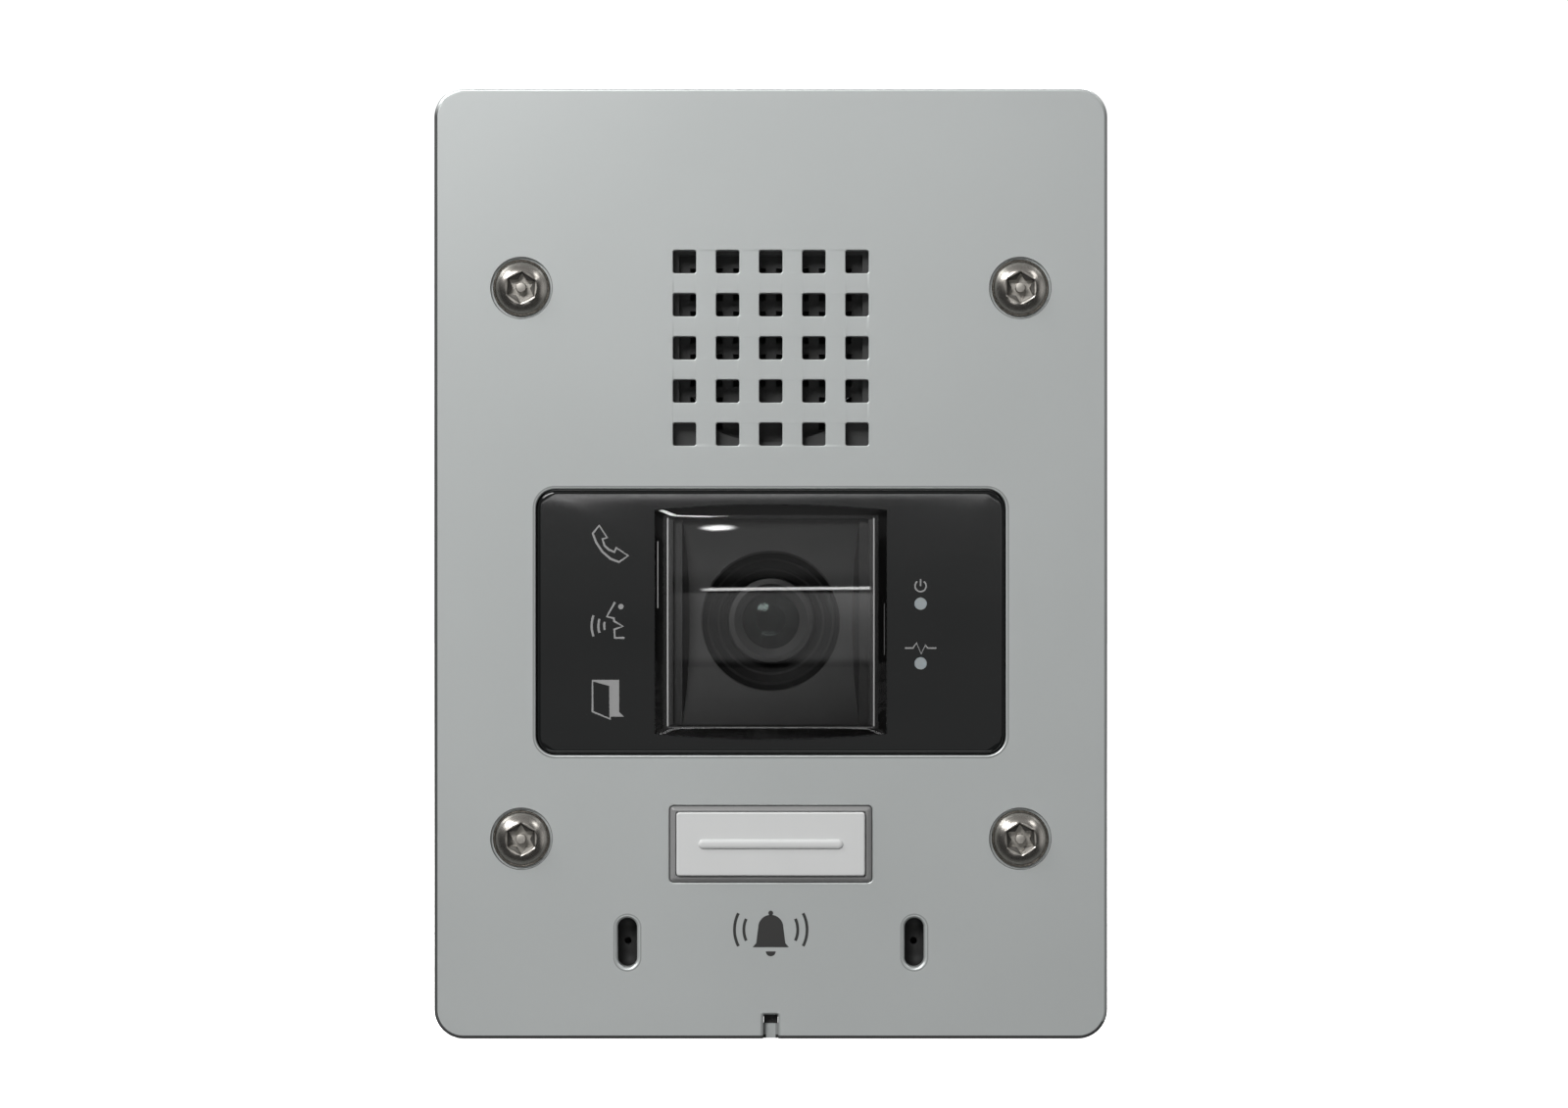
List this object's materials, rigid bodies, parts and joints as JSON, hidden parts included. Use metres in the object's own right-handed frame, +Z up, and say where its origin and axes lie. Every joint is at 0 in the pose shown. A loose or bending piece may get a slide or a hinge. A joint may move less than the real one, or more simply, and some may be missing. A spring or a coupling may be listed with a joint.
{
  "type": "door intercom panel",
  "caption": "Flush wall-mounted video door station: silver-grey metal panel with speaker grille, camera behind a bulged clear window, call button and microphone slots, with a rear housing.",
  "frame": {"origin": "centre of the four fixing screws, on the wall plane (rear face of the panel gasket)", "axes": "+Z up, +Y into the wall along the fixing screws; the front faces -Y and +X is to the right seen from the front"},
  "size_m": [0.115, 0.0434, 0.1624],
  "materials": {
    "panel_metal": "satin silver-grey",
    "black_gloss": "polished",
    "clear_window": "polished clear polycarbonate",
    "lens_glass": "coated",
    "black_plastic": "fine grain",
    "housing_plastic": "fine grain",
    "button_plastic": "satin light grey",
    "surround_plastic": "satin dark grey",
    "dark_stainless": "polished, warm dark tone",
    "zinc_steel": "zinc plated",
    "sheet_steel": "plated",
    "gasket_foam": "closed-cell foam",
    "black_rubber": "smooth",
    "silicone": "translucent",
    "clear_acrylic": "frosted ends",
    "circuit_board": "solder mask",
    "chip_black": "moulded epoxy",
    "can_aluminium": "drawn can",
    "contact_brass": "gold flash",
    "coil_copper": "enamelled wire",
    "magnet_ferrite": "ground",
    "speaker_paper": "fibrous",
    "nylon_white": "natural",
    "terminal_green": "moulded",
    "led_lens": "diffusing",
    "wire_insulation": "smooth",
    "flex_film": "polyimide",
    "transformer_tape": "taped",
    "membrane": "fine weave"
  },
  "bodies": {
    "station": {"front_panel": "panel_metal", "panel_gasket": "gasket_foam", "fixing_screws": "dark_stainless", "screw_retainers": "nylon_white", "window_cover": "black_gloss", "window_gasket": "black_rubber", "cover_screws": "zinc_steel", "camera_window": "clear_window", "camera_shroud": "black_plastic", "lens_barrel": "black_plastic", "front_lens": "lens_glass", "rear_lens": "lens_glass", "lens_holder": "black_plastic", "image_sensor": "chip_black", "camera_board": "circuit_board", "camera_screws": "zinc_steel", "camera_flex": "flex_film", "icon_light_guides": "clear_acrylic", "status_light_pipes": "clear_acrylic", "icon_guide_holder": "black_plastic", "status_guide_holder": "black_plastic", "indicator_leds": "led_lens", "speaker_baffle": "black_plastic", "baffle_screws": "zinc_steel", "speaker_membrane": "membrane", "speaker_gasket": "gasket_foam", "speaker_frame": "sheet_steel", "speaker_cone": "speaker_paper", "speaker_dust_cap": "speaker_paper", "voice_coil": "coil_copper", "speaker_magnet": "magnet_ferrite", "speaker_yoke": "sheet_steel", "speaker_screws": "zinc_steel", "mic_boots": "black_rubber", "mic_capsules": "can_aluminium", "button_surround": "surround_plastic", "button_pad": "silicone", "switch_body": "chip_black", "button_board": "circuit_board", "button_screws": "zinc_steel", "main_board": "circuit_board", "board_screws": "zinc_steel", "board_chips": "chip_black", "capacitors": "can_aluminium", "power_transformer": "transformer_tape", "board_connectors": "nylon_white", "speaker_lead": "wire_insulation", "mic_leads": "wire_insulation", "button_lead": "wire_insulation", "ethernet_jack": "sheet_steel", "jack_contacts": "contact_brass", "terminal_header": "terminal_green", "terminal_pins": "contact_brass", "rear_housing": "housing_plastic", "housing_seal": "black_rubber", "housing_screws": "zinc_steel"},
    "call_button": {"call_button": "button_plastic"},
    "switch_plunger": {"switch_plunger": "nylon_white"},
    "terminal_plug": {"terminal_plug": "terminal_green", "terminal_screws": "zinc_steel"}
  },
  "joints": [
    {"name": "call_button_press", "type": "slide", "parent": "station", "child": "call_button", "axis": [0, 1, 0], "range_m": [0, 0.001], "stiffness_N_per_m": 1500, "springref_m": -0.001, "deforming": ["button_pad"]},
    {"name": "switch_plunger_press", "type": "slide", "parent": "station", "child": "switch_plunger", "axis": [0, 1, 0], "range_m": [0, 0.0004]},
    {"name": "terminal_plug_pull", "type": "slide", "parent": "station", "child": "terminal_plug", "axis": [0, 1, 0], "range_m": [0, 0.012]}
  ],
  "couplings": [
    {"joint": "switch_plunger_press", "follows": "call_button_press", "ratio": 0.35}
  ]
}
